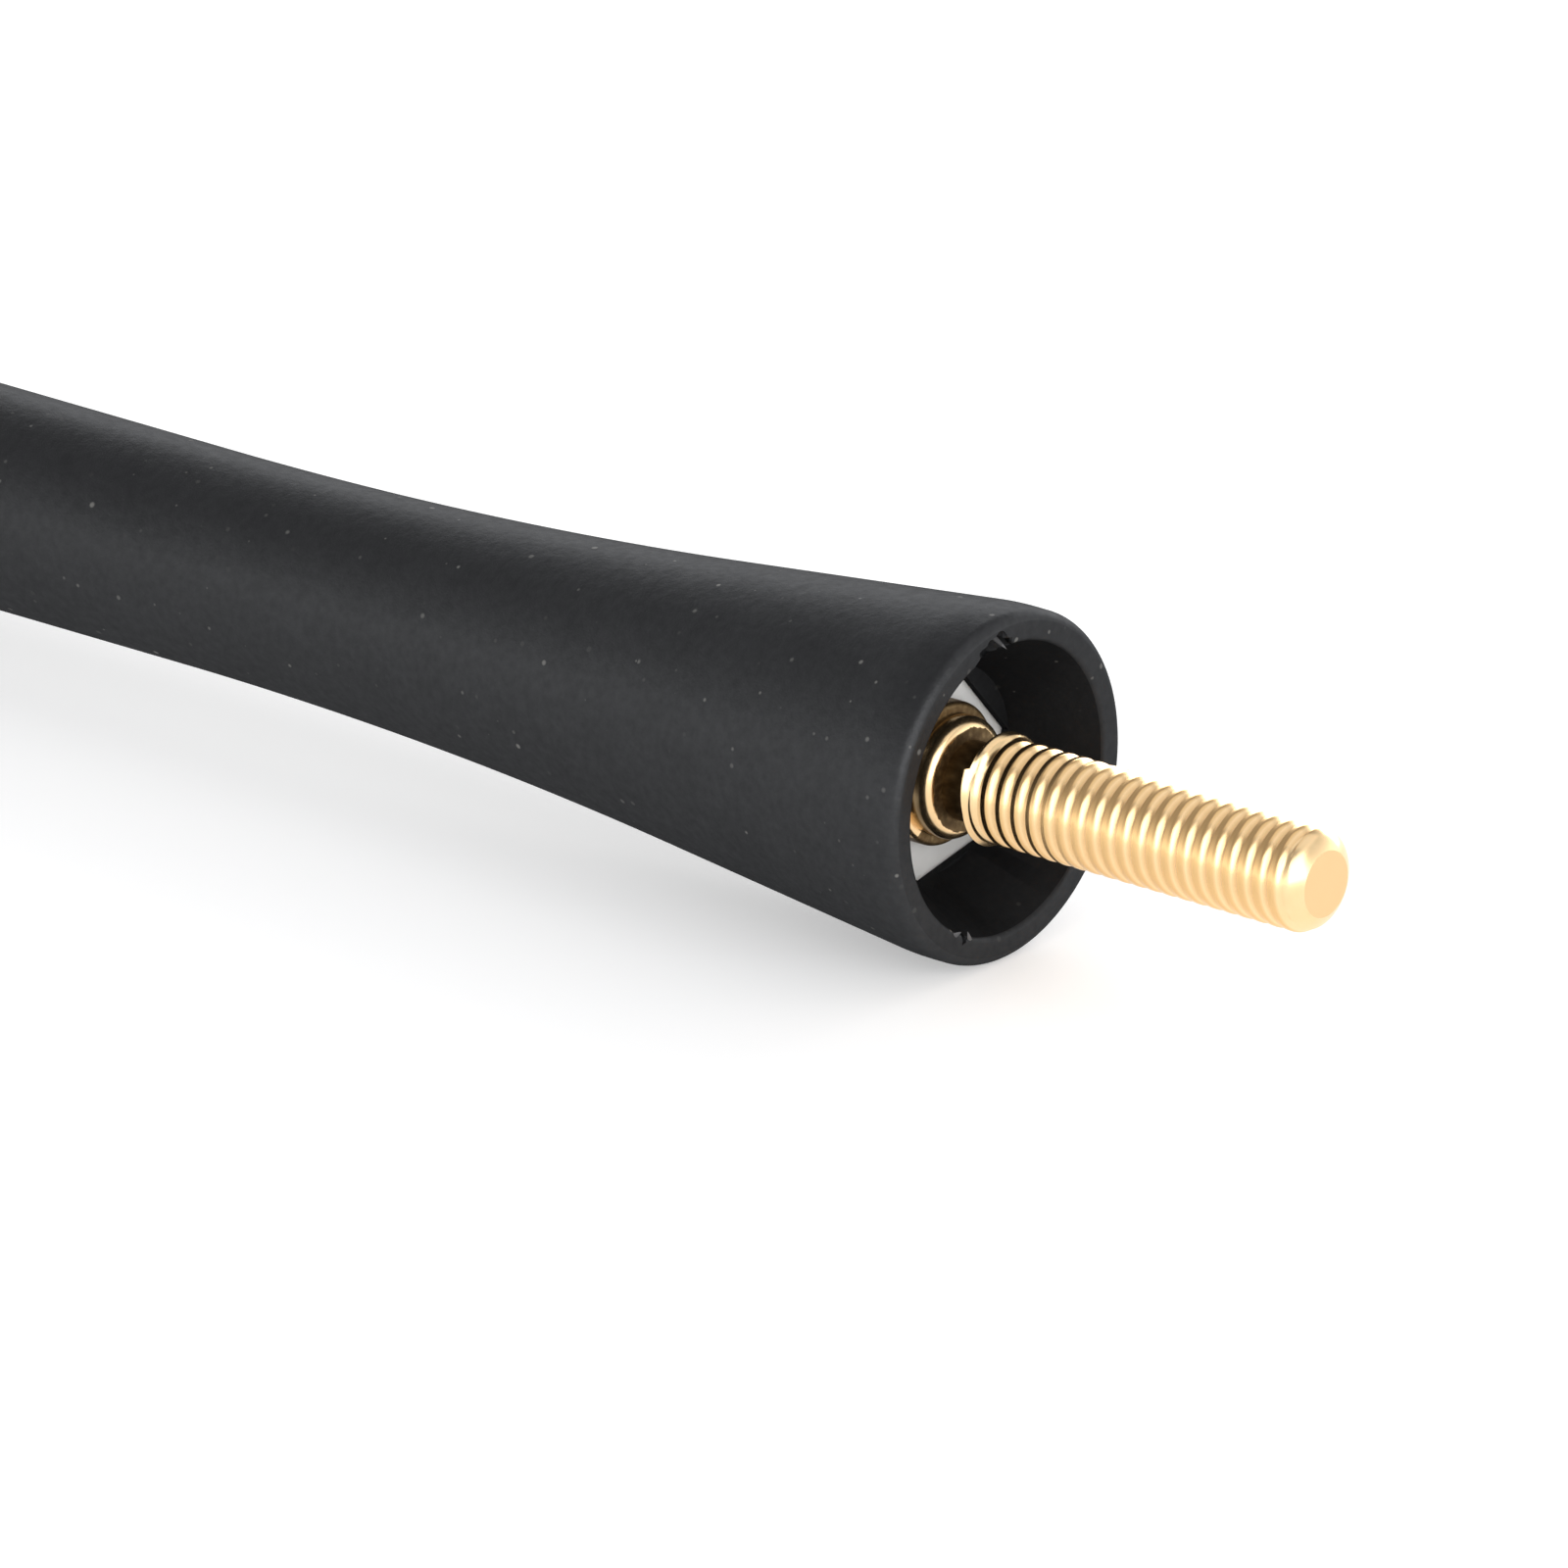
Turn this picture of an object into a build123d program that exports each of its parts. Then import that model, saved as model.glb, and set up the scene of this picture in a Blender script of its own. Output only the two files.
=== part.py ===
"""Short flexible mast aerial for a car roof, lying along X with its threaded stud towards +X.

The lip of the rubber base lies in the plane X = 0. The rubber sleeve is moulded over a wound core and
over a hexagon insert, and a gold-plated stud is screwed into the insert from the mouth of the base.
"""
import os
from math import atan2, hypot, tan

from build123d import *

# Rubber sleeve, with distances along X measured from the lip; the core lies a little below its axis
mast_diameter = 8.0
mast_length = 170.0
rim_diameter = 13.3
lip_width = 1.05
lip_outer_round = 0.5
lip_inner_round = 0.15
mouth_depth = 3.15
floor_diameter = 7.9
floor_skin = 0.3
tip_wall = 5.0
core_drop = 0.08

# Flare of the base: a straight cone between two corners, each eased by an arc
rim_corner = 1.7
rim_easing = 0.6
mast_corner = 25.6
mast_easing = 12.0

# Hexagon window in the floor of the mouth, moulded a little low of the core
window_flats = 6.9
window_drop = 0.3
hexagon_turn = 11.0

# Hexagon insert behind the window
insert_flats = 8.0
insert_head_length = 5.0
barrel_diameter = 5.2
barrel_length = 9.0
insert_web = 1.0

# Gold stud: its foot stands on the insert's face, and its thread begins in the plane of the lip
shank_diameter = 3.3
shank_length = 5.6
foot_diameter = 5.4
foot_length = 0.7
foot_round = 0.2
ring_diameter = 4.6
ring_length = 0.9
ring_round = 0.45
neck_diameter = 3.0
collar_diameter = 4.3
collar_length = 0.45
root_diameter = 3.2
root_width = 0.1
thread_diameter = 4.0
thread_length = 14.6
tip_chamfer = 0.45

# Wound core, with a flat wire
rod_diameter = 3.0
wire_width = 1.0
wire_thickness = 0.25
winding_pitch = 6.0
bare_rod_tip = 3.0
solder_diameter = 4.8
solder_length = 0.5

# Clearances between pieces that fit together
moulded_fit = 0.03
screwed_fit = 0.03
wound_fit = 0.03
socket_end_gap = 0.2

# Radii and stations along X that the sizes above lead to
mast_radius = mast_diameter / 2
rim_radius = rim_diameter / 2
mouth_radius = rim_radius - lip_width
rod_bore_radius = rod_diameter / 2 + moulded_fit
winding_radius = rod_diameter / 2 + wound_fit + wire_thickness / 2
winding_reach = hypot(winding_radius + wire_thickness / 2, wire_width / 2)
skin_back_x = -mouth_depth - floor_skin
face_x = skin_back_x - moulded_fit
head_end_x = face_x - insert_head_length
barrel_end_x = head_end_x - barrel_length
foot_front_x = face_x + foot_length
ring_front_x = foot_front_x + ring_length
shank_end_x = face_x - shank_length
shank_hole_x = shank_end_x - socket_end_gap
rod_socket_x = shank_hole_x - insert_web
solder_end_x = barrel_end_x - solder_length
rod_base_x = rod_socket_x - socket_end_gap
rod_tip_x = -mast_length + tip_wall
winding_start_x = solder_end_x - wound_fit - wire_width / 2
winding_end_x = rod_tip_x + bare_rod_tip


def drum(start_x, end_x, radius):
    """Plain cylinder about X, from one station back to another."""
    return extrude(Plane.YZ.offset(end_x) * Circle(radius), start_x - end_x)


def hexagon_bar(start_x, end_x, across_flats, drop=0.0):
    """Hexagonal bar along X, from one station back to another, turned as in the mouth's window."""
    section = RegularPolygon(across_flats / 2, 6, major_radius=False, rotation=hexagon_turn)
    return extrude(Plane.YZ.offset(end_x) * Pos(0, -drop) * section, start_x - end_x)


def turned(*edges):
    """Solid of revolution about X from the edges of a half section in the XY plane."""
    return revolve(make_face(Curve() + list(edges)), Axis.X)


def rubber_sleeve():
    """Mast, flared base and mouth in one moulding, hollowed where it was moulded over the core."""
    flare_angle = atan2(rim_radius - mast_radius, mast_corner - rim_corner)
    easing = tan(flare_angle / 2)
    dome = JernArc((-mast_length, 0), (0, 1), mast_radius, -90)
    skin = FilletPolyline(
        dome @ 1,
        (-mast_corner, mast_radius),
        (-rim_corner, rim_radius),
        (0, rim_radius),
        (0, mouth_radius),
        (-mouth_depth, floor_diameter / 2),
        radius=[mast_easing / easing, rim_easing / easing, lip_outer_round, lip_inner_round],
    )
    closing = Polyline(skin @ 1, (-mouth_depth, 0), dome @ 0)
    sleeve = Pos(0, 0, core_drop) * turned(dome, skin, closing)
    sleeve -= hexagon_bar(0, skin_back_x, window_flats, window_drop)
    sleeve -= hexagon_bar(skin_back_x, head_end_x - moulded_fit, insert_flats + 2 * moulded_fit)
    sleeve -= drum(head_end_x, solder_end_x - moulded_fit, barrel_diameter / 2 + moulded_fit)
    sleeve -= drum(solder_end_x, winding_end_x - wire_width / 2 - moulded_fit, winding_reach + moulded_fit)
    sleeve -= drum(winding_end_x, rod_tip_x - moulded_fit, rod_bore_radius)
    return sleeve


def hex_insert():
    """Hexagon head with a round barrel: tapped in front for the stud, bored behind for the rod."""
    insert = hexagon_bar(face_x, head_end_x, insert_flats)
    insert += drum(head_end_x, barrel_end_x, barrel_diameter / 2)
    insert -= drum(face_x, shank_hole_x, shank_diameter / 2 + screwed_fit)
    insert -= drum(rod_socket_x, barrel_end_x, rod_bore_radius)
    return insert


def threaded_stud():
    """Turned stud: shank in the insert, foot, rounded ring, neck, coned collar and threaded end."""
    shank_radius = shank_diameter / 2
    foot_radius = foot_diameter / 2
    ring_radius = ring_diameter / 2
    neck_radius = neck_diameter / 2
    collar_radius = collar_diameter / 2
    root_radius = root_diameter / 2
    thread_radius = thread_diameter / 2
    foot_edge = JernArc((foot_front_x - foot_round, foot_radius), (1, 0), foot_round, -90)
    ring_edge = JernArc((ring_front_x - ring_round, ring_radius), (1, 0), ring_round, -90)
    back = Polyline(
        (shank_end_x, 0),
        (shank_end_x, shank_radius),
        (face_x, shank_radius),
        (face_x, foot_radius),
        foot_edge @ 0,
    )
    step = Polyline(foot_edge @ 1, (foot_front_x, ring_radius), ring_edge @ 0)
    front = Polyline(
        ring_edge @ 1,
        (ring_front_x, neck_radius),
        (-collar_length, neck_radius),
        (-collar_length, collar_radius),
        (-root_width, root_radius),
        (0, root_radius),
        (0, thread_radius),
        (thread_length - tip_chamfer, thread_radius),
        (thread_length, thread_radius - tip_chamfer),
        (thread_length, 0),
        back @ 0,
    )
    return turned(back, foot_edge, step, ring_edge, front)


def core_rod():
    """Springy rod from the insert's barrel to just short of the mast's tip."""
    return drum(rod_base_x, rod_tip_x, rod_diameter / 2)


def wire_winding():
    """One flat wire wound along the rod, from the solder ring to near the tip."""
    foot = Vector(winding_start_x, 0, 0)
    path = Helix(winding_pitch, winding_start_x - winding_end_x, winding_radius, foot, (-1, 0, 0))
    section = Plane(path @ 0, x_dir=path @ 0 - foot, z_dir=path % 0) * Rectangle(wire_thickness, wire_width)
    return sweep(section, path, is_frenet=True)


def solder_ring():
    """Fillet of solder between the barrel's end and the foot of the winding."""
    return turned(
        Polyline(
            (barrel_end_x, rod_bore_radius),
            (barrel_end_x, solder_diameter / 2),
            (solder_end_x, winding_reach),
            (solder_end_x, rod_bore_radius),
            close=True,
        )
    )


os.makedirs("parts", exist_ok=True)
for piece in (rubber_sleeve, hex_insert, threaded_stud, core_rod, wire_winding, solder_ring):
    export_step(piece(), f"parts/{piece.__name__}.step")
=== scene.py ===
# %% [markdown]
# # A short rubber car aerial with a gold stud
# The aerial is a matt black rubber mast that flares into a trumpet-shaped base. A gold-plated stud with a
# fine thread stands out of the base's open mouth and screws into a mount on a car's roof. The lesson starts
# from measured solids of its six pieces. It makes a finer rubber sleeve and a stud with a true thread, which
# stand for two of them, gives every piece its finish, and sets out a pale table, soft light and a camera.

# %% Load the measured solids
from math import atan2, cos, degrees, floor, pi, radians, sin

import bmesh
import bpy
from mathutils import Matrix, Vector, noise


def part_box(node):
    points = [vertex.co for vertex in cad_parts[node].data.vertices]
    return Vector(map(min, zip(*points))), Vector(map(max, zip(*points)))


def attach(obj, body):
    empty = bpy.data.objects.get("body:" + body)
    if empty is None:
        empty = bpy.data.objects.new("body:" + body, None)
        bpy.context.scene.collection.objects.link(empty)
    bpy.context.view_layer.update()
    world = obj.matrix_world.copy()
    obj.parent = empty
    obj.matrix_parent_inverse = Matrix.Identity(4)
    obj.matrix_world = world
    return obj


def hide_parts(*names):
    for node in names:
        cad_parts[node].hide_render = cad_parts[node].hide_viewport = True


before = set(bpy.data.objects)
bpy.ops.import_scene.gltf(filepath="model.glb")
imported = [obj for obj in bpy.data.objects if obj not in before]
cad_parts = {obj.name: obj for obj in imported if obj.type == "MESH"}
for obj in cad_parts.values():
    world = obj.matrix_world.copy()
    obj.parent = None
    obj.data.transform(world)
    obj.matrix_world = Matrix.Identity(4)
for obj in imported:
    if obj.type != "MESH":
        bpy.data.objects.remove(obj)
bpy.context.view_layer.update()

# %% [markdown]
# ## Boxes of the solids
# A solid's box says how far it reaches along each axis. Sizes that the boxes give are taken from them, so
# the new pieces keep to the solids. Blender counts in metres, and a named millimetre keeps the many small
# numbers readable.

mm = 0.001
full_turn = 2 * pi
sleeve_low, sleeve_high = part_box("rubber_sleeve")
stud_low, stud_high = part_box("threaded_stud")
_, insert_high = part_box("hex_insert")
rod_low, rod_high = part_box("core_rod")
winding_low, winding_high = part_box("wire_winding")
solder_low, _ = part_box("solder_ring")
print("solids:", sorted(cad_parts))

# %% [markdown]
# ## Sizes of the rubber sleeve
# The boxes of the solids give the long sizes: how far the mast reaches and how wide the rim is. The rubber's
# axis lies a hair above the stud's, because the metal core was moulded low. The other sizes shape a half
# section of the sleeve: the corners of its flare, the roundings of its lip and the slope of its mouth.
# Distances along X are measured from the plane of the lip.

# %% Sizes of the rubber sleeve
rim_radius = sleeve_high.y
sleeve_rise = 0.08 * mm
mast_length = -sleeve_low.x
mast_radius = 4.0 * mm
rim_corner = 1.7 * mm
rim_easing = 0.6 * mm
mast_corner = 25.6 * mm
mast_easing = 12.0 * mm
lip_width = 1.05 * mm
lip_outer_round = 0.5 * mm
lip_inner_round = 0.15 * mm
mouth_radius = rim_radius - lip_width
mouth_depth = 3.15 * mm
floor_radius = 3.95 * mm
print("mouth diameter in mm:", round(2 * mouth_radius / mm, 2))

# %% [markdown]
# ## Turning a half section
# Nearly every piece of the aerial is round, so it is made as on a lathe: a half section is turned about X.
# Blender's Screw modifier could do that too, but a few lines of mesh code also let a ring bend out of round,
# which the start of the thread will need. A corner of a section is eased by an arc that leaves each leg at a
# given distance: a long distance gives the sweep of the flare, a short one the rounding of a lip.


# %% Helpers for a turned piece
def eased_corner(before, corner, after, easing, steps):
    """Points on the arc that rounds a corner, from one leg to the other."""
    corner = Vector(corner)
    to_before = (Vector(before) - corner).normalized()
    to_after = (Vector(after) - corner).normalized()
    half = to_before.angle(to_after) / 2
    centre = corner + (to_before + to_after).normalized() * easing / cos(half)
    first = corner + to_before * easing - centre
    last = corner + to_after * easing - centre
    turn = atan2(first.cross(last), first.dot(last))
    return [centre + Matrix.Rotation(turn * step / steps, 2) @ first for step in range(steps + 1)]


def turned(section, segments, shape=None):
    """Mesh from a half section of (x, radius) points; a shape may move a point by its angle."""
    mesh = bmesh.new()
    rings = []
    for x, radius in section:
        ring = []
        for step in range(segments if radius > 0 else 1):
            angle = full_turn * step / segments
            ring_x, ring_radius = shape(x, radius, angle) if shape else (x, radius)
            ring.append(mesh.verts.new((ring_x, ring_radius * cos(angle), ring_radius * sin(angle))))
        rings.append(ring)
    for low, high in zip(rings, rings[1:]):
        for step in range(segments):
            after = step + 1
            corners = (low[step % len(low)], low[after % len(low)])
            corners += (high[after % len(high)], high[step % len(high)])
            mesh.faces.new(list(dict.fromkeys(corners)))
    return mesh


def shade_smooth(data, sharp_angle):
    """Smooth shading that breaks at edges sharper than an angle in degrees."""
    data.polygons.foreach_set("use_smooth", [True] * len(data.polygons))
    data.set_sharp_from_angle(angle=radians(sharp_angle))


def piece_from(mesh, name, sharp_angle):
    """Object from a mesh in the making, with its faces turned outwards."""
    mesh.normal_update()
    bmesh.ops.recalc_face_normals(mesh, faces=mesh.faces)
    data = bpy.data.meshes.new(name)
    mesh.to_mesh(data)
    mesh.free()
    shade_smooth(data, sharp_angle)
    obj = bpy.data.objects.new(name, data)
    bpy.context.scene.collection.objects.link(obj)
    return obj


print("lathe helpers:", eased_corner.__name__, turned.__name__, piece_from.__name__)

# %% [markdown]
# ## Outside of the sleeve
# The section runs from the domed tip along the mast, up the flare, over the rounded lip and down the sloping
# wall of the mouth to its floor. Rings are placed only where the line bends, and close together on the lip,
# because the lip's soft highlight is what shows that the rubber was moulded and not cut.

# %% Outside of the sleeve
sleeve_segments = 288
dome_steps = 16
flare_steps = 32
rim_steps = 8
lip_steps = 10
rubber_sharp = 35
dome = []
for step in range(dome_steps + 1):
    swing = pi / 2 * step / dome_steps
    dome.append((-mast_length + mast_radius * (1 - cos(swing)), mast_radius * sin(swing)))
on_mast = (-mast_corner, mast_radius)
on_rim = (-rim_corner, rim_radius)
lip_outer = (0, rim_radius)
lip_inner = (0, mouth_radius)
floor_edge = (-mouth_depth, floor_radius)
sleeve_section = dome
sleeve_section += eased_corner(dome[-1], on_mast, on_rim, mast_easing, flare_steps)
sleeve_section += eased_corner(on_mast, on_rim, lip_outer, rim_easing, rim_steps)
sleeve_section += eased_corner(on_rim, lip_outer, lip_inner, lip_outer_round, lip_steps)
sleeve_section += eased_corner(lip_outer, lip_inner, floor_edge, lip_inner_round, lip_steps)
sleeve_section += [floor_edge, (-mouth_depth, 0)]
sleeve_mesh = turned(sleeve_section, sleeve_segments)
bmesh.ops.translate(sleeve_mesh, verts=sleeve_mesh.verts, vec=(0, 0, sleeve_rise))
sleeve = piece_from(sleeve_mesh, "sleeve", rubber_sharp)
print("rings in the sleeve:", len(sleeve_section), "faces:", len(sleeve.data.polygons))

# %% [markdown]
# ## Torn places on the lip
# The lip's inner edge is torn in two places, where rubber stuck to the mould. Each tear is cut with a small,
# slightly lumpy ball that is stretched along the edge. Sculpting could make it too, but a cut can be moved
# by changing a number.

# %% Torn places on the lip
tear_detail = 4
tear_lumps = 0.35
tear_lump_size = 0.45
tear_front = 0.1 * mm
# Angle about X in degrees, then in mm the radius of the middle, the half length along the edge, the depth
# and the reach along X
tears = {
    "upper_tear": (97.0, 5.56, 1.05, 0.62, 0.90),
    "lower_tear": (243.6, 5.60, 0.14, 0.24, 0.50),
}


def tear_cutter(name, angle, radius, half_length, depth, reach):
    """Lumpy ball on the lip's inner edge."""
    mesh = bmesh.new()
    bmesh.ops.create_icosphere(mesh, subdivisions=tear_detail, radius=1)
    for vert in mesh.verts:
        vert.co *= 1 + tear_lumps * noise.noise(vert.co / tear_lump_size)
    place = Matrix.Translation((0, 0, sleeve_rise)) @ Matrix.Rotation(angle, 4, "X")
    place = place @ Matrix.Translation((tear_front, radius, 0))
    mesh.transform(place @ Matrix.Diagonal((reach, depth, half_length, 1)))
    return piece_from(mesh, name, rubber_sharp)


def cut_away(obj, cutters):
    """Subtract the cutters from an object for good, and delete them."""
    for cutter in cutters:
        modifier = obj.modifiers.new(cutter.name, "BOOLEAN")
        modifier.operation = "DIFFERENCE"
        modifier.solver = "EXACT"
        modifier.object = cutter
    result = bpy.data.meshes.new_from_object(obj.evaluated_get(bpy.context.evaluated_depsgraph_get()))
    obj.modifiers.clear()
    obj.data = result
    for cutter in cutters:
        bpy.data.objects.remove(cutter)


cutters = []
for name, (tear_angle, *sizes) in tears.items():
    cutters.append(tear_cutter(name, radians(tear_angle), *[size * mm for size in sizes]))
cut_away(sleeve, cutters)
shade_smooth(sleeve.data, rubber_sharp)
print("sleeve faces after the tears:", len(sleeve.data.polygons))

# %% [markdown]
# ## Window, pocket and core
# The rubber was moulded round a hexagon insert and a wound rod. Its floor has a hexagon window through which
# the insert's face shows, and behind that a pocket and a bore of the core's own shape. These are cut with
# Booleans, the way the solids were cut, and applied at once, so the piece is left as one plain mesh.

# %% Cut the window, the pocket and the bore
moulded_fit = 0.03 * mm
window_flats = 6.9 * mm
window_drop = 0.3 * mm
pocket_flats = 8.06 * mm
pocket_back = -8.51 * mm
hexagon_turn = radians(11)
hexagon_sides = 6
skin_back = insert_high.x + moulded_fit
cutter_overlap = 0.05 * mm
barrel_bore_radius = 2.63 * mm
winding_room = 0.08 * mm
winding_bore_radius = winding_high.y + winding_room
rod_bore_radius = rod_high.y + moulded_fit
bore_segments = 96


def hexagon_cutter(front, back, flats, drop, name):
    """Six-sided bar along X that cuts a window or a pocket."""
    mesh = bmesh.new()
    reach = flats / 2 / cos(pi / hexagon_sides)
    angles = [hexagon_turn + full_turn * side / hexagon_sides for side in range(hexagon_sides)]
    ends = []
    for x in (back, front):
        ends.append([mesh.verts.new((x, reach * cos(a), reach * sin(a) - drop)) for a in angles])
        mesh.faces.new(ends[-1])
    for side in range(hexagon_sides):
        after = (side + 1) % hexagon_sides
        mesh.faces.new((ends[0][side], ends[0][after], ends[1][after], ends[1][side]))
    return piece_from(mesh, name, rubber_sharp)


def core_cutter(name):
    """Turned plug with the steps of the barrel, the winding and the rod's bare tip."""
    barrel_end = solder_low.x - moulded_fit
    winding_end = winding_low.x - moulded_fit
    rod_end = rod_low.x - moulded_fit
    front = pocket_back + cutter_overlap
    section = [(front, 0), (front, barrel_bore_radius), (barrel_end, barrel_bore_radius)]
    section += [(barrel_end, winding_bore_radius), (winding_end, winding_bore_radius)]
    section += [(winding_end, rod_bore_radius), (rod_end, rod_bore_radius), (rod_end, 0)]
    return piece_from(turned(section, bore_segments), name, rubber_sharp)


cut_away(sleeve, [
    hexagon_cutter(cutter_overlap, skin_back - cutter_overlap, window_flats, window_drop, "window"),
    hexagon_cutter(skin_back, pocket_back, pocket_flats, 0, "pocket"),
    core_cutter("core"),
])
shade_smooth(sleeve.data, rubber_sharp)
print("sleeve faces after the cuts:", len(sleeve.data.polygons))

# %% [markdown]
# ## Sizes of the gold stud
# The stud is a turned brass pin with a rolled M4 thread. Its shank sits in the insert, its foot stands on
# the insert's face, and a rounded ring, a thin neck and a coned collar lead to the thread. The crest of a
# right-hand thread moves one pitch along X for each turn, so one number fixes where all of it lies: the
# place where the crest crosses the +Y side. The tip's face stands a hair further out than on the solid.

# %% Sizes of the gold stud
tip_rise = 0.12 * mm
stud_tip = stud_high.x + tip_rise
shank_end = stud_low.x
foot_back = insert_high.x
shank_radius = 1.65 * mm
foot_radius = stud_high.y
foot_length = 0.7 * mm
foot_front = foot_back + foot_length
foot_round = 0.2 * mm
ring_radius = 2.3 * mm
ring_length = 0.9 * mm
ring_front = foot_front + ring_length
ring_round = 0.45 * mm
neck_radius = 1.5 * mm
collar_radius = 2.15 * mm
collar_length = 0.45 * mm
collar_bevel = 0.02 * mm
thread_pitch = 0.7 * mm
crest_radius = 1.98 * mm
thread_depth = 0.25 * mm
crest_place = -0.07 * mm
tip_radius = 1.25 * mm
nose_length = 0.82 * mm
nose_curve = 2.2
print("thread turns:", round(stud_tip / thread_pitch, 1), "depth in mm:", round(thread_depth / mm, 2))

# %% [markdown]
# ## Form of the thread
# The plated ridges of this thread are broad: each keeps an almost flat crest, eases into a flank towards the
# tip, and the groove then rises steeply to the next crest. It runs out against the collar instead of ending
# in a wall. So the radius is worked out for any place: the crest, less the groove's depth there. The collar
# stands a little proud. Its front falls in a cone, apart from its top, where it was left full, and a nick in
# its back edge marks where the thread's forming began. At the other end a rounded chamfer leads the thread
# down to a small flat face.

# %% Form of the thread
crest_share = 0.25
root_share = 0.8
rise_share = 0.85
runout_from = -0.10 * mm
runout_to = 0.0 * mm
full_collar_front = -0.2 * mm
full_collar_slope = 0.3 * mm
nick_angle = radians(144)
nick_depth = 0.13 * mm
nick_run = radians(45)
cone_angles = (radians(118), radians(142), radians(300), radians(330))


def smooth_step(share):
    """Ease from 0 to 1 as a share goes from 0 to 1."""
    share = min(max(share, 0), 1)
    return share * share * (3 - 2 * share)


def groove(turns):
    """Share of the groove's depth at a number of turns from a crest: 0 on a crest, 1 in a root."""
    share = turns % 1
    if share < rise_share:
        return smooth_step((share - crest_share) / (root_share - crest_share))
    return (1 - share) / (1 - rise_share)


def groove_depth(turns, angle):
    """Depth of the groove that follows a crest; it runs out against the collar."""
    root_x = crest_place + thread_pitch * (floor(turns) + root_share + angle / full_turn)
    return thread_depth * smooth_step((root_x - runout_from) / (runout_to - runout_from))


def crest_surface(x, angle):
    """Radius of the crests, with the collar's cone in front and its full top."""
    cone = max(crest_radius, collar_radius - (x + collar_length))
    full = crest_radius + (collar_radius - crest_radius) * (
        1 - smooth_step((x - full_collar_front) / full_collar_slope)
    )
    cone_start, cone_on, cone_end, cone_off = cone_angles
    share = smooth_step((angle - cone_start) / (cone_on - cone_start))
    share *= 1 - smooth_step((angle - cone_end) / (cone_off - cone_end))
    return full + (cone - full) * share


def nose_surface(x):
    """Radius of the rounded chamfer, from the thread to the edge of the tip's flat face."""
    share = 1 - (stud_tip - x) / nose_length
    return crest_radius - (crest_radius - tip_radius) * share**nose_curve


def thread_surface(x, angle):
    """Radius of the collar and thread at any place, down to the chamfer of the tip."""
    turns = (x - crest_place) / thread_pitch - angle / full_turn
    radius = crest_surface(x, angle) - groove_depth(turns, angle) * groove(turns)
    if x > stud_tip - nose_length:
        radius = min(radius, nose_surface(x))
    return radius


def stud_shape(x, radius, angle):
    """Rings of the collar follow the thread's form and the nick; other rings stay round."""
    if radius <= neck_radius or x < -collar_length:
        return x, radius
    past_nick = (angle - nick_angle) % full_turn
    x += nick_depth * max(1 - past_nick / nick_run, 0) * x / collar_length
    return x, thread_surface(x, angle) - (collar_radius - radius)


sample_turns = 5
some_crest = crest_place + sample_turns * thread_pitch
some_root = some_crest + root_share * thread_pitch
print("crest and root in mm:", [round(thread_surface(x, 0) / mm, 2) for x in (some_crest, some_root)])

# %% [markdown]
# ## Stud with a true thread
# From the shank to the collar the stud is turned like the sleeve. The thread is a grid whose rows climb with
# the helix, so its edges lie along the crests and few faces make a clean profile. The rows are squeezed flat
# where the thread meets the collar and the tip, doubled points are merged, and one face closes the tip. That
# face is shaded flat, so that its edge stays crisp.

# %% Stud with a true thread
stud_segments = 144
rows_per_turn = 20
lead_turns = 1
spare_turns = 2
ring_steps = 10
foot_steps = 6
collar_rings = 14
merge_distance = 0.0002 * mm
gold_sharp = 40


def add_thread(mesh):
    """Grid that follows the helix from the collar to the tip."""
    rows = int(stud_tip / thread_pitch * rows_per_turn) + spare_turns * rows_per_turn
    grid = []
    for row in range(rows):
        line = []
        for step in range(stud_segments):
            angle = full_turn * step / stud_segments
            x = thread_pitch * (row / rows_per_turn - lead_turns + step / stud_segments)
            x = min(max(x, 0), stud_tip)
            radius = thread_surface(x, angle)
            line.append(mesh.verts.new((x, radius * cos(angle), radius * sin(angle))))
        grid.append(line)
    for row in range(rows - 1):
        for step in range(stud_segments):
            after = (step + 1) % stud_segments
            climb = rows_per_turn if after == 0 else 0
            if row + 1 + climb < rows:
                low = (grid[row][step], grid[row + climb][after])
                high = (grid[row + 1 + climb][after], grid[row + 1][step])
                mesh.faces.new(low + high)


foot_corner = (foot_front, foot_radius)
foot_inner = (foot_front, ring_radius)
ring_corner = (ring_front, ring_radius)
ring_inner = (ring_front, neck_radius)
collar_start = -collar_length + collar_bevel
stud_section = [(shank_end, 0), (shank_end, shank_radius)]
stud_section += [(foot_back, shank_radius), (foot_back, foot_radius)]
stud_section += eased_corner(stud_section[-1], foot_corner, foot_inner, foot_round, foot_steps)
stud_section += [foot_inner]
stud_section += eased_corner(foot_inner, ring_corner, ring_inner, ring_round, ring_steps)
stud_section += [ring_inner, (-collar_length, neck_radius)]
stud_section += [(-collar_length, collar_radius - collar_bevel)]
for step in range(collar_rings + 1):
    stud_section.append((collar_start * (1 - step / collar_rings), collar_radius))
stud_mesh = turned(stud_section, stud_segments, stud_shape)
add_thread(stud_mesh)
bmesh.ops.remove_doubles(stud_mesh, verts=stud_mesh.verts, dist=merge_distance)
tip_edges = [e for e in stud_mesh.edges if e.is_boundary and e.verts[0].co.x > stud_tip - merge_distance]
bmesh.ops.contextual_create(stud_mesh, geom=tip_edges)
print("open edges left on the stud:", sum(e.is_boundary for e in stud_mesh.edges))
stud = piece_from(stud_mesh, "stud", gold_sharp)
tip_face = max(stud.data.polygons, key=lambda face: face.loop_total)
tip_face.use_smooth = False
print("stud faces:", len(stud.data.polygons))

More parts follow.
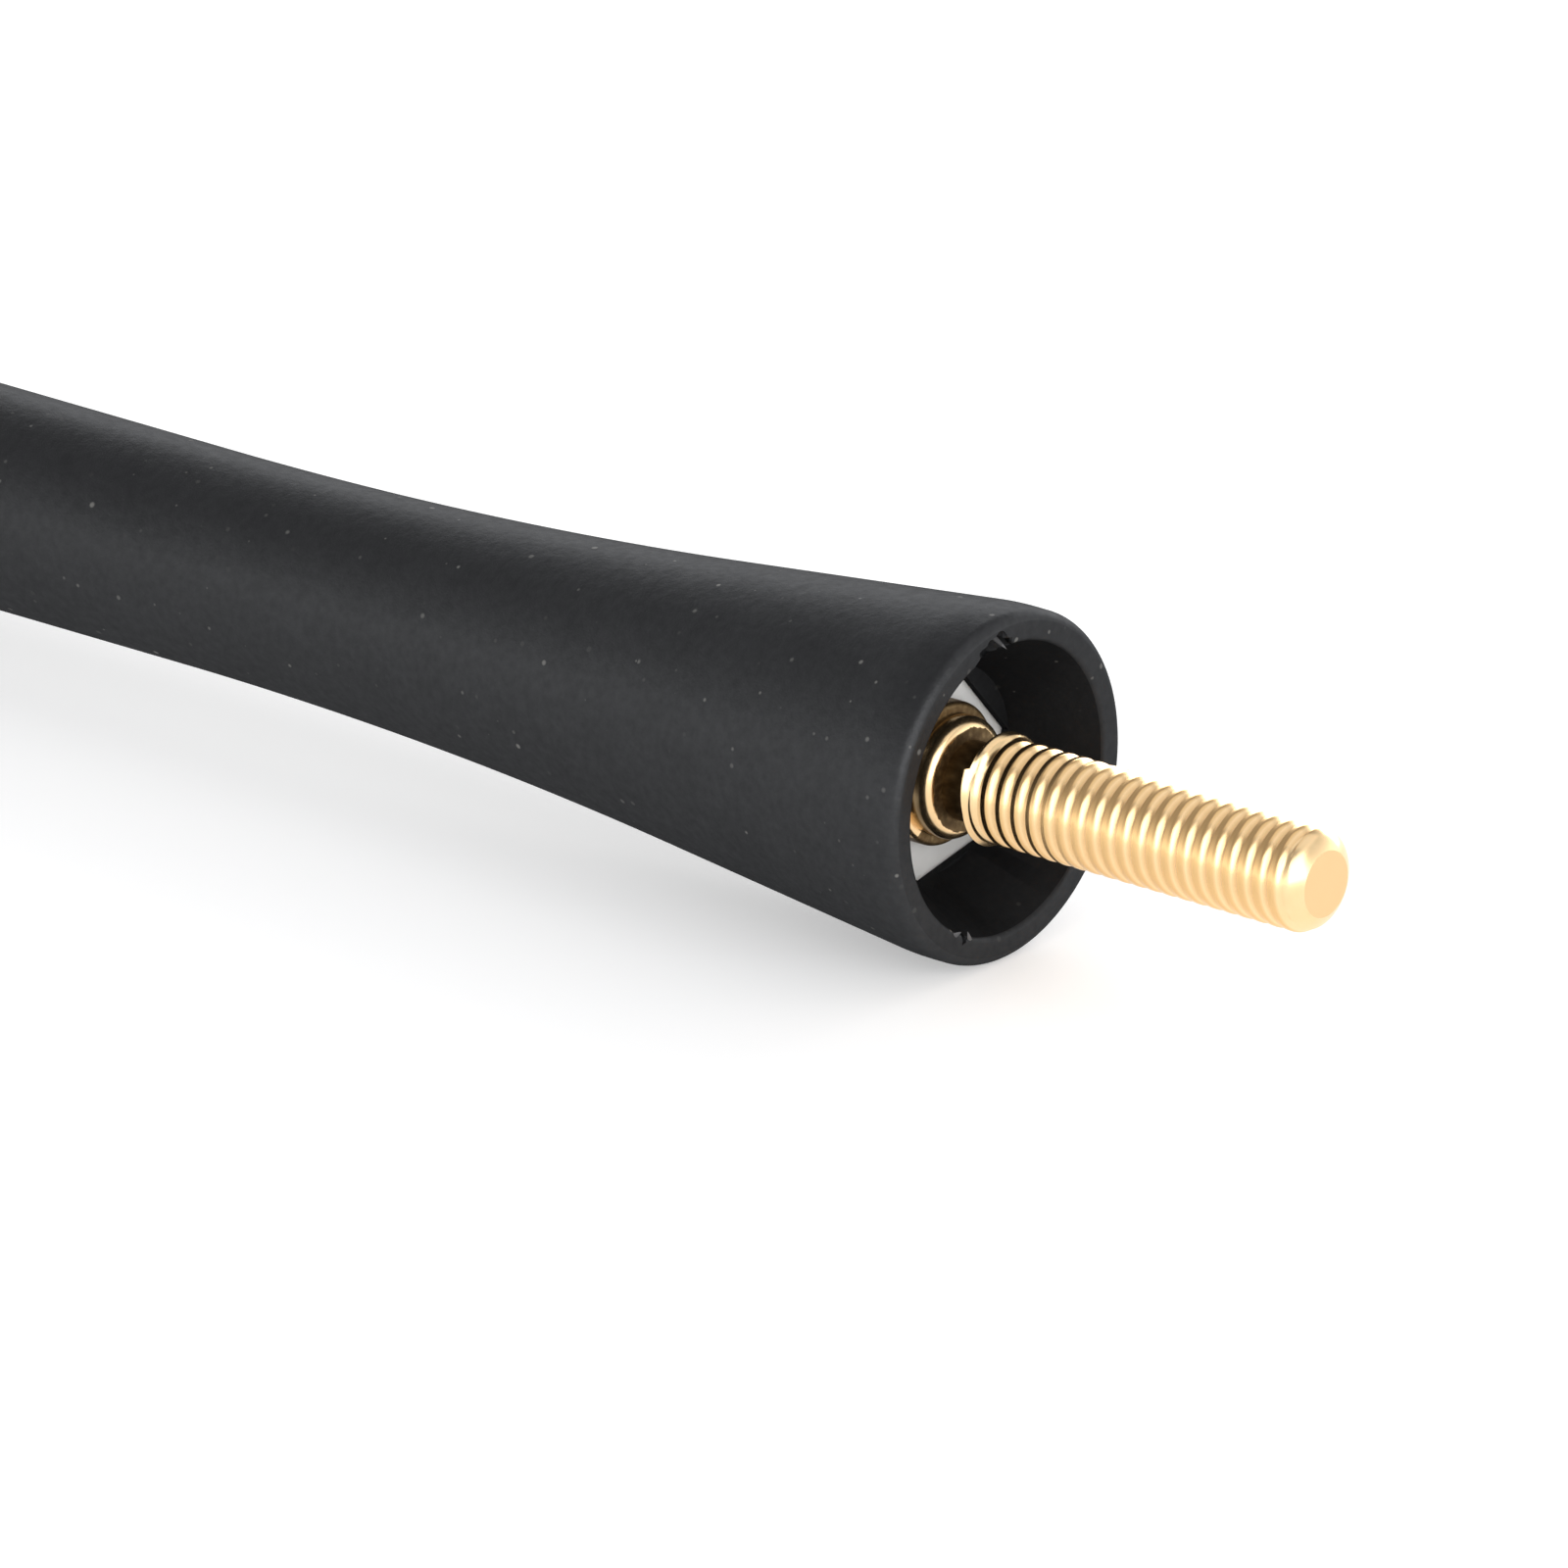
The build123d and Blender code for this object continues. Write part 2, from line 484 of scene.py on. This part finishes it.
# %% [markdown]
# ## Flash on the lip
# Thin tags of rubber still hang at the tears. Each is a small fin that tapers from its root in the lip to
# its tip, built from a few shrinking sections, so that it belongs to the rubber from every side.

# %% Flash on the lip
tag_steps = 6
tag_sides = 8
tag_thickness = 0.12 * mm
# Angle in degrees, radius and X in mm of the root, the same of the tip, and the width in mm
tags = (
    ((94.4, 6.06, -0.45), (90.4, 5.44, -0.05), 0.22),
    ((237.2, 5.74, -0.12), (238.4, 5.44, 0.12), 0.30),
    ((249.6, 5.74, -0.14), (242.6, 5.34, 0.08), 0.24),
)


def lip_point(turn, radius, x):
    """Point near the lip, from its angle about the rubber's axis, its radius and its place along X."""
    angle = radians(turn)
    return Vector((x * mm, radius * mm * cos(angle), radius * mm * sin(angle) + sleeve_rise))


def add_tag(mesh, root, tip, width):
    """Fin that thins out towards its tip."""
    along = (tip - root).normalized()
    across = along.cross(Vector((1, 0, 0))).normalized()
    through = along.cross(across)
    rings = []
    for step in range(tag_steps):
        share = step / tag_steps
        fullness = (1 - share * share) / 2
        ring = []
        for side in range(tag_sides):
            turn = full_turn * side / tag_sides
            off = across * cos(turn) * width + through * sin(turn) * tag_thickness
            ring.append(mesh.verts.new(root + (tip - root) * share + off * fullness))
        rings.append(ring)
    end = mesh.verts.new(tip)
    mesh.faces.new(rings[0])
    for low, high in zip(rings, rings[1:]):
        for side in range(tag_sides):
            after = (side + 1) % tag_sides
            mesh.faces.new((low[side], low[after], high[after], high[side]))
    for side in range(tag_sides):
        mesh.faces.new((rings[-1][side], rings[-1][(side + 1) % tag_sides], end))


tag_mesh = bmesh.new()
for root, tip, width in tags:
    add_tag(tag_mesh, lip_point(*root), lip_point(*tip), width * mm)
lip_flash = piece_from(tag_mesh, "lip_flash", rubber_sharp)
print("tags of flash:", len(tags), "faces:", len(lip_flash.data.polygons))

# %% [markdown]
# ## What the new pieces stand for
# The sleeve and the stud take the place of the two plain solids with the same form. The tags of flash are an
# addition. All of them move with the aerial's one body.

# %% Tie the new pieces to the aerial
for piece, slot in ((sleeve, "mast_rubber"), (lip_flash, "mast_rubber"), (stud, "gold_plate")):
    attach(piece, "root")
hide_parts("rubber_sleeve")
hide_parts("threaded_stud")
print("pieces made here:", sleeve.name, stud.name, lip_flash.name)

# %% [markdown]
# ## Writing shader maths in Python
# A finish is a small program made of nodes. Placing them one by one hides what they work out, so one class
# wraps a node's socket: sums written with it add Math nodes, and its method adds any other node, with the
# node's settings first and then its sockets. A plain number stays a number.


# %% A class for shader maths
class Shade:
    """A socket in a finish; sums with it in Python become Math nodes."""

    def __init__(self, socket):
        self.socket = socket

    @classmethod
    def node(cls, tree, kind, settings=None, sockets=None, output=0):
        """Add a node: first its settings, then the values or links of its sockets."""
        node = tree.nodes.new(kind)
        for name, value in (settings or {}).items():
            if name == "stops":
                for place, colour in value[len(node.color_ramp.elements):]:
                    node.color_ramp.elements.new(place)
                for element, (place, colour) in zip(node.color_ramp.elements, value):
                    element.position = place
                    element.color = colour
            else:
                setattr(node, name, value)
        for name, value in (sockets or {}).items():
            if isinstance(value, Shade):
                tree.links.new(value.socket, node.inputs[name])
            else:
                node.inputs[name].default_value = value
        return cls(node.outputs[output]) if node.outputs else None

    def maths(self, operation, first, second=0.0):
        """Add a Math node for an operation on two values."""
        tree = self.socket.id_data
        return self.node(tree, "ShaderNodeMath", {"operation": operation}, {0: first, 1: second})

    def __add__(self, other):
        return self.maths("ADD", self, other)

    def __sub__(self, other):
        return self.maths("SUBTRACT", self, other)

    def __rsub__(self, other):
        return self.maths("SUBTRACT", other, self)

    def __mul__(self, other):
        return self.maths("MULTIPLY", self, other)

    def __lt__(self, other):
        return self.maths("LESS_THAN", self, other)

    def __gt__(self, other):
        return self.maths("GREATER_THAN", self, other)

    __radd__ = __add__
    __rmul__ = __mul__


cloud_detail = 2.0
one_lump = 1.0
across_x = (0, 1, 1)
# A Mix node has sockets for numbers, vectors and colours: these are the places of its colour ones
mix_first = 6
mix_second = 7
mix_result = 2


def start_finish(name):
    """Empty node tree of a new finish, and the place on the piece that its patterns hang on."""
    finish = bpy.data.materials.new(name)
    finish.use_nodes = True
    finish.node_tree.nodes.clear()
    place = Shade.node(finish.node_tree, "ShaderNodeTexCoord", output="Object")
    return finish, finish.node_tree, place


def end_finish(tree, sockets):
    """Principled shader with the given sockets, led to the surface."""
    shader = Shade.node(tree, "ShaderNodeBsdfPrincipled", {}, sockets)
    Shade.node(tree, "ShaderNodeOutputMaterial", {}, {"Surface": shader})


def scaled(tree, place, scales):
    """Place with each of its three numbers multiplied by a scale of its own."""
    return Shade.node(tree, "ShaderNodeVectorMath", {"operation": "MULTIPLY"}, {0: place, 1: scales})


def cloud(tree, place, grain, detail=cloud_detail):
    """Soft noise from 0 to 1 whose lumps are about as large as the grain."""
    sockets = {"Vector": place, "Scale": 1 / grain, "Detail": detail}
    return Shade.node(tree, "ShaderNodeTexNoise", {}, sockets)


def stretched_cloud(tree, place, sizes, detail=cloud_detail):
    """Soft noise from 0 to 1 whose lumps have a size of their own along each axis."""
    return cloud(tree, scaled(tree, place, tuple(1 / size for size in sizes)), one_lump, detail)


def blend_colours(tree, share, first, second):
    """Colour between two, by a share that varies over the surface."""
    stops = [(0.0, first), (1.0, second)]
    return Shade.node(tree, "ShaderNodeValToRGB", {"stops": stops}, {"Fac": share})


def mix_colours(tree, share, first, second):
    """Colour mixed from two others that vary themselves."""
    sockets = {"Factor": share, mix_first: first, mix_second: second}
    return Shade.node(tree, "ShaderNodeMix", {"data_type": "RGBA"}, sockets, mix_result)


def distance_to(tree, place, point):
    """Distance of the place on the piece from a point."""
    ends = {0: place, 1: point}
    return Shade.node(tree, "ShaderNodeVectorMath", {"operation": "DISTANCE"}, ends, "Value")


def distance_from_axis(tree, place, rise=0.0):
    """Distance of the place on the piece from an axis along X that lies at a height."""
    return distance_to(tree, scaled(tree, place, across_x), (0, 0, rise))


def place_along(tree, place):
    """Distance of the place on the piece along X from the plane of the lip."""
    return Shade.node(tree, "ShaderNodeSeparateXYZ", {}, {"Vector": place}, "X")


def bumps(tree, height, depth):
    """Normal of a surface that a pattern raises by up to a depth."""
    return Shade.node(tree, "ShaderNodeBump", {}, {"Height": height, "Distance": depth}, "Normal")


print("patterns ready:", cloud.__name__, stretched_cloud.__name__, bumps.__name__)

# %% [markdown]
# ## Matt black rubber
# Moulded rubber takes the blasted grain of its mould. The grain scatters glare, so the rubber has the same
# dull sheen from every side: a deep black shader is mixed with a small share of a mirror-like, rough one,
# mottled where the grain is finer or coarser. Two sizes of noise raise the grain, softer noise makes faint
# clouds, and dust clings to the surface as pale specks of many sizes, where it passes close to the scattered
# points of a cell pattern. Inside the mouth the colour is pushed towards pure black and the sheen is turned
# almost off: painted shade for the deep recess. Its lip has a duller sheen too. The torn tags are the same
# rubber in a dusty grey.

# %% Matt black rubber
rubber_grain = 0.11 * mm
rubber_pebble = 0.36 * mm
rubber_grain_depth = 0.010 * mm
rubber_pebble_share = 1.5
rubber_cloud = 2.2 * mm
rubber_cloud_detail = 4.0
cloud_middle = 0.5
rubber_dark = (0.0095, 0.0098, 0.0104, 1)
rubber_worn = (0.0160, 0.0165, 0.0175, 1)
torn_dark = (0.05, 0.05, 0.052, 1)
torn_pale = (0.13, 0.13, 0.133, 1)
pure_black = (0, 0, 0, 1)
black_roughness = 0.9
no_gloss = 0.0
full_metal = 1.0
rubber_sheen = 0.031
rubber_mottle = 0.6
sheen_tint = (0.95, 0.965, 1.0, 1)
rubber_roughness = 0.40
rubber_roughness_change = 0.10
lip_band = 0.35 * mm
lip_edge = rim_radius - lip_band
mouth_front = -lip_inner_round
mouth_margin = 0.5 * mm
mouth_back = -mouth_depth - mouth_margin
# Share of black painted into the mouth's colour, and the mouth's low sheen: painted shade for the recess
mouth_painted_shade = 0.4
mouth_sheen = 0.010
lip_sheen = 0.024
dust_spacing = 0.62 * mm
dust_radius = 0.14 * mm
dust_softness = 0.06 * mm
dust_faint = (0.02, 0.02, 0.02, 1)
dust_bright = (0.17, 0.167, 0.157, 1)


def rubber_finish(name, dark, on_crest):
    """Rubber with a pebbled grain, faint clouds and specks of dust."""
    finish, tree, place = start_finish(name)
    grain = cloud(tree, place, rubber_grain)
    pebble = cloud(tree, place, rubber_pebble)
    wear = cloud(tree, place, rubber_cloud, rubber_cloud_detail)
    cells = {"Vector": place, "Scale": 1 / dust_spacing}
    to_dust = Shade.node(tree, "ShaderNodeTexVoronoi", {}, cells, "Distance")
    dust_tint = Shade.node(tree, "ShaderNodeTexVoronoi", {}, cells, "Color")
    dust_size = Shade.node(tree, "ShaderNodeSeparateColor", {}, {"Color": dust_tint}, "Red")
    dust_paleness = Shade.node(tree, "ShaderNodeSeparateColor", {}, {"Color": dust_tint}, "Green")
    dust = (dust_size * dust_size * (dust_radius / dust_spacing) - to_dust) * (dust_spacing / dust_softness)
    dust_colour = blend_colours(tree, dust_paleness * dust_paleness, dust_faint, dust_bright)
    surface_colour = mix_colours(tree, dust, blend_colours(tree, wear, dark, on_crest), dust_colour)
    normal = bumps(tree, grain + rubber_pebble_share * pebble + wear, rubber_grain_depth)
    along = place_along(tree, place)
    within_lip = (along > mouth_back) * (distance_from_axis(tree, place, sleeve_rise) < lip_edge)
    in_mouth = within_lip * (along < mouth_front)
    # Inside the mouth the colour is mixed towards pure black and the sheen turned down: painted shade
    black = Shade.node(tree, "ShaderNodeBsdfPrincipled", {}, {
        "Base Color": mix_colours(tree, in_mouth * mouth_painted_shade, surface_colour, pure_black),
        "Roughness": black_roughness,
        "Specular IOR Level": no_gloss,
        "Normal": normal,
    })
    sheen = Shade.node(tree, "ShaderNodeBsdfPrincipled", {}, {
        "Base Color": sheen_tint,
        "Metallic": full_metal,
        "Roughness": rubber_roughness + rubber_roughness_change * (wear - cloud_middle),
        "Normal": normal,
    })
    sheen_share = rubber_sheen + (lip_sheen - rubber_sheen) * within_lip
    sheen_share = sheen_share + (mouth_sheen - lip_sheen) * in_mouth
    surface = Shade.node(tree, "ShaderNodeMixShader", {}, {
        "Fac": sheen_share * (1 + rubber_mottle * (pebble - cloud_middle)),
        1: black,
        2: sheen,
    })
    Shade.node(tree, "ShaderNodeOutputMaterial", {}, {"Surface": surface})
    return finish


mast_rubber = rubber_finish("mast_rubber", rubber_dark, rubber_worn)
torn_rubber = rubber_finish("torn_rubber", torn_dark, torn_pale)
print("rubber grain in mm:", rubber_grain / mm, rubber_pebble / mm)

# %% [markdown]
# ## Pale gold plating
# Gold plate on turned brass is bright, with fine lines from the turning tool running round it and a slight
# haze. Noise stretched thin along X gives the lines. On the crests of the thread the gold is a deeper,
# warmer colour, and the grooves are painted a duller, less metallic brown, painted shade in the thread's
# roots, so the colour follows the distance from the axis there. The tip's face is rougher, and a darker gold
# painted on it is painted shade that dims it. Behind the collar, deep in the mouth, the foot, the neck and
# the ring's front are painted dark brown with tan smears: painted shade for the recess. The ring's rounded
# edge and one patch on the foot are left bare gold so that their highlights show, so the painted shade is
# laid by the place along X, the radius and the distance from the patch, with noise to fray its edges.

# %% Pale gold plating
gold_line = (0.035 * mm, 2.0 * mm, 2.0 * mm)
gold_line_depth = 0.0012 * mm
gold_cloud = 0.9 * mm
gold_warm = (0.91, 0.63, 0.32, 1)
gold_pale = (0.97, 0.72, 0.42, 1)
crest_gold = (0.82, 0.53, 0.24, 1)
gold_roughness = 0.18
gold_haze = 0.10
# Painted shade in the thread's grooves: a duller brown that is also less metallic
groove_shade_colour = (0.82, 0.52, 0.24, 1)
groove_dullness = 0.35
groove_fade = 0.15 * mm
# Darker gold painted on the tip's face: painted shade that dims it
face_shade_gold = (0.84, 0.57, 0.30, 1)
face_roughness = 0.22
face_skin = 0.004 * mm
thread_start = 0.0
# Band near the crests' radius where the gold turns a deeper, warmer colour
crest_band_from = crest_radius - 0.10 * mm
crest_band_to = crest_radius - 0.02 * mm
# Painted shade for the recess behind the collar: its place, frayed edge, colours and roughness
recess_shade_front = -0.5 * mm
recess_shade_back = ring_front - 0.74 * mm
recess_shade_radius = 1.95 * mm
recess_shade_fray = 0.25 * mm
recess_shade_smear = (0.5 * mm, 0.25 * mm, 0.25 * mm)
recess_shade_smear_detail = 3.0
recess_shade_tan_gain = 2.0
recess_shade_dark = (0.11, 0.068, 0.030, 1)
recess_shade_tan = (0.34, 0.24, 0.12, 1)
recess_shade_roughness = 0.25
# Patch on the foot kept bare gold so that a highlight shows there
patch_angle = radians(214)
patch_size = 0.62 * mm
patch_radius = 2.55 * mm
patch_place = (foot_front, patch_radius * cos(patch_angle), patch_radius * sin(patch_angle))

finish, tree, place = start_finish("gold_plate")
lines = stretched_cloud(tree, place, gold_line)
haze = cloud(tree, place, gold_cloud)
smear = stretched_cloud(tree, place, recess_shade_smear, recess_shade_smear_detail)
fray = recess_shade_fray * (smear - cloud_middle)
along = place_along(tree, place)
to_patch = distance_to(tree, place, patch_place)
radius = distance_from_axis(tree, place)
# Painted shade in the recess, left off the ring's edge and the patch where highlights show
highlight_edge = (along > recess_shade_back) * (radius + fray > recess_shade_radius)
highlight_patch = to_patch + fray < patch_size
recess_shade = (along < recess_shade_front) * (1 - highlight_edge) * (1 - highlight_patch)
gold = blend_colours(tree, haze, gold_warm, gold_pale)
on_crest = (along > thread_start) * ((radius - crest_band_from) * (1 / (crest_band_to - crest_band_from)))
gold = mix_colours(tree, on_crest, gold, crest_gold)
on_thread = (along > thread_start) * (along < stud_tip - nose_length)
# Painted shade: the grooves turn a duller, less metallic brown
in_groove = on_thread * (radius < crest_band_from) * ((crest_band_from - radius) * (1 / groove_fade))
gold = mix_colours(tree, in_groove, gold, groove_shade_colour)
# Painted shade on the tip's flat face
on_face = along > stud_tip - face_skin
gold = mix_colours(tree, on_face, gold, face_shade_gold)
recess_shade_colour = blend_colours(tree, smear * smear * smear * recess_shade_tan_gain, recess_shade_dark, recess_shade_tan)
end_finish(tree, {
    "Base Color": mix_colours(tree, recess_shade, gold, recess_shade_colour),
    "Metallic": 1 - groove_dullness * in_groove,
    "Roughness": gold_roughness + gold_haze * haze + recess_shade_roughness * recess_shade + face_roughness * on_face,
    "Normal": bumps(tree, lines, gold_line_depth),
})
gold_plate = finish
print("turning lines on the gold in mm:", gold_line[0] / mm)

# %% [markdown]
# ## Satin nickel
# The insert's end was faced on a lathe before a dull plating, so its nickel has faint rings about its middle
# and scatters light almost like paint: it is only half metal here. The distance from the axis, with a little
# noise in it, drives the rings.

# %% Satin nickel
nickel_ring = 0.05 * mm
nickel_ring_depth = 0.002 * mm
nickel_ring_waver = 4
nickel_cloud = 1.2 * mm
nickel_dull = (0.64, 0.64, 0.63, 1)
nickel_bright = (0.76, 0.76, 0.75, 1)
nickel_metal = 0.45
nickel_roughness = 0.40
nickel_haze = 0.12

finish, tree, place = start_finish("nickel_plate")
radius = distance_from_axis(tree, place)
haze = cloud(tree, place, nickel_cloud)
rings = radius.maths("SINE", radius * (full_turn / nickel_ring) + nickel_ring_waver * haze)
end_finish(tree, {
    "Base Color": blend_colours(tree, haze, nickel_dull, nickel_bright),
    "Metallic": nickel_metal,
    "Roughness": nickel_roughness + nickel_haze * haze,
    "Normal": bumps(tree, rings, nickel_ring_depth),
})
nickel_plate = finish
print("facing rings on the nickel in mm:", nickel_ring / mm)

# %% [markdown]
# ## Finishes inside the mast
# The core is hidden in the rubber, but whoever cuts the model open should find what a real mast holds: a
# straw-coloured rod of glass fibre with its strands along it, a flat copper wire with a clear enamel coat,
# and a ring of dull, cloudy solder that ties the wire to the insert.

# %% Finishes inside the mast
fibre_strand = (6.0 * mm, 0.12 * mm, 0.12 * mm)
fibre_strand_depth = 0.01 * mm
fibre_detail = 4.0
fibre_roughness = 0.35
fibre_haze = 0.2
fibre_deep = (0.62, 0.56, 0.38, 1)
fibre_pale = (0.84, 0.80, 0.66, 1)
copper_cloud = 0.8 * mm
copper_deep = (0.50, 0.19, 0.09, 1)
copper_bright = (0.76, 0.36, 0.20, 1)
copper_roughness = 0.22
copper_haze = 0.15
enamel_coat = 0.6
solder_cloud = 0.35 * mm
solder_depth = 0.02 * mm
solder_detail = 4.0
solder_roughness = 0.38
solder_haze = 0.25
solder_dull = (0.42, 0.43, 0.44, 1)
solder_bright = (0.66, 0.67, 0.68, 1)

finish, tree, place = start_finish("glass_fibre")
strands = stretched_cloud(tree, place, fibre_strand, fibre_detail)
end_finish(tree, {
    "Base Color": blend_colours(tree, strands, fibre_deep, fibre_pale),
    "Roughness": fibre_roughness + fibre_haze * strands,
    "Normal": bumps(tree, strands, fibre_strand_depth),
})
glass_fibre = finish

finish, tree, place = start_finish("copper_wire")
tone = cloud(tree, place, copper_cloud)
end_finish(tree, {
    "Base Color": blend_colours(tree, tone, copper_deep, copper_bright),
    "Metallic": full_metal,
    "Roughness": copper_roughness + copper_haze * tone,
    "Coat Weight": enamel_coat,
})
copper_wire = finish

finish, tree, place = start_finish("solder")
crust = cloud(tree, place, solder_cloud, solder_detail)
end_finish(tree, {
    "Base Color": blend_colours(tree, crust, solder_dull, solder_bright),
    "Metallic": full_metal,
    "Roughness": solder_roughness + solder_haze * crust,
    "Normal": bumps(tree, crust, solder_depth),
})
solder = finish
print("finishes so far:", sorted(material.name for material in bpy.data.materials))

# %% [markdown]
# ## Dressing the pieces
# A finish shows once it sits in one of a piece's material slots. The three new pieces get theirs on their
# meshes. The solids of the core keep their own, so only what sits in each one's slot is changed.

# %% Dress every piece
for piece, finish in ((sleeve, mast_rubber), (lip_flash, torn_rubber), (stud, gold_plate)):
    piece.data.materials.clear()
    piece.data.materials.append(finish)
core_finishes = {
    "hex_insert": nickel_plate,
    "core_rod": glass_fibre,
    "wire_winding": copper_wire,
    "solder_ring": solder,
}
for node_name, finish in core_finishes.items():
    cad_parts[node_name].material_slots[0].material = finish
print("dressed solids:", sorted(core_finishes))

# %% [markdown]
# ## Pale table
# The aerial lies on the rim of its base and on the tip of the mast, so the table leans a little under the
# straight axis of the model. A light table, with a glow of its own, keeps the ground white and the shadow
# faint, as in a catalogue picture.

# %% Pale table
table_half = 2.0
table_gap = 0.02 * mm
table_colour = (0.80, 0.80, 0.80, 1)
table_roughness = 0.8
glow_colour = (1, 1, 1, 1)
table_glow = 0.37
table_lean = atan2(rim_radius - mast_radius, mast_length - mast_radius)
table_mesh = bmesh.new()
bmesh.ops.create_grid(table_mesh, x_segments=1, y_segments=1, size=table_half)
table = piece_from(table_mesh, "table", rubber_sharp)
table.rotation_euler = (0, table_lean, 0)
table.location = (0, 0, sleeve_rise - rim_radius - table_gap)
finish, tree, place = start_finish("table_white")
end_finish(tree, {
    "Base Color": table_colour,
    "Roughness": table_roughness,
    "Specular IOR Level": no_gloss,
    "Emission Color": glow_colour,
    "Emission Strength": table_glow,
})
table.data.materials.append(finish)
print("table leans by degrees:", round(degrees(table_lean), 2))

# %% [markdown]
# ## Soft light
# A tent of pale cloth, bright near the horizon and darker overhead, makes the soft bands on the rubber: the
# flank that faces the low walls is lighter, and a dark band runs along the mast where the top of the tent
# shows. Three softboxes stand in the tent. A low one behind the aerial lights the mast's upper edge and lays
# the shadow towards the viewer. One beyond the stud makes the flanks of its thread shine, and a dim one
# above keeps the top of the thread golden.

# %% Soft light
wall_light = (1.60, 1.60, 1.60, 1)
slope_light = (1.0, 1.0, 1.0, 1)
ceiling_light = (0.42, 0.42, 0.43, 1)
wall_top = 0.17
slope_height = 0.36
ceiling_height = 0.76
tent_strength = 1.0
# Place in metres, width and height in metres, and brightness of each softbox
softboxes = {
    "back_softbox": ((-0.45, 0.85, 0.26), (1.6, 0.6), 3.4),
    "stud_softbox": ((0.85, -0.30, 0.35), (0.8, 0.8), 2.0),
    "top_softbox": ((0.45, 0.35, 1.05), (1.0, 1.0), 0.52),
}

world = bpy.data.worlds.new("light_tent")
world.use_nodes = True
sky = world.node_tree
sky.nodes.clear()
sky_place = Shade.node(sky, "ShaderNodeTexCoord", output="Generated")
sky_height = Shade.node(sky, "ShaderNodeSeparateXYZ", {}, {"Vector": sky_place}, "Z")
tent_stops = [(wall_top, wall_light), (slope_height, slope_light), (ceiling_height, ceiling_light)]
tent = Shade.node(sky, "ShaderNodeValToRGB", {"stops": tent_stops}, {"Fac": sky_height})
glow = Shade.node(sky, "ShaderNodeBackground", {}, {"Color": tent, "Strength": tent_strength})
Shade.node(sky, "ShaderNodeOutputWorld", {}, {"Surface": glow})
bpy.context.scene.world = world

for name, (place, (width, height), brightness) in softboxes.items():
    light = bpy.data.lights.new(name, "AREA")
    light.shape = "RECTANGLE"
    light.size = width
    light.size_y = height
    light.energy = brightness * pi * width * height
    softbox = bpy.data.objects.new(name, light)
    softbox.location = place
    softbox.rotation_euler = (-Vector(place)).to_track_quat("-Z", "Y").to_euler()
    softbox.visible_camera = False
    bpy.context.scene.collection.objects.link(softbox)
    print(name, "power in watts:", round(light.energy, 2))
bpy.context.scene.view_settings.view_transform = "Standard"

# %% [markdown]
# ## Camera
# The camera looks along the direction that the round mouth shows: its ellipse gives the angle between the
# view and the axis. A very long lens from far away keeps the mast's two outlines almost parallel, as they
# are in the picture. The aim is moved so that the stud's start lands on its own pixel of a square picture.

# %% Camera
azimuth = radians(39.04)
elevation = radians(21.06)
picture_side = 1600
pixels_per_mm = 28.2
lip_pixel = (1029.0, 807.9)
camera_distance = 2.6
nearest = 0.05
farthest = 100.0
back = Vector((sin(azimuth) * cos(elevation), -cos(azimuth) * cos(elevation), sin(elevation)))
right = Vector((cos(azimuth), sin(azimuth), 0))
up = back.cross(right)
middle = picture_side / 2
aim = (right * (middle - lip_pixel[0]) - up * (middle - lip_pixel[1])) / pixels_per_mm * mm
camera_data = bpy.data.cameras.new("camera")
camera_data.lens = camera_data.sensor_width * camera_distance / (picture_side / pixels_per_mm * mm)
camera_data.clip_start = nearest
camera_data.clip_end = farthest
camera = bpy.data.objects.new("camera", camera_data)
facing = Matrix((right, up, back)).transposed().to_4x4()
camera.matrix_world = Matrix.Translation(aim + back * camera_distance) @ facing
bpy.context.scene.collection.objects.link(camera)
bpy.context.scene.camera = camera
print("lens in mm:", round(camera_data.lens), "picture width in mm:", round(picture_side / pixels_per_mm, 2))
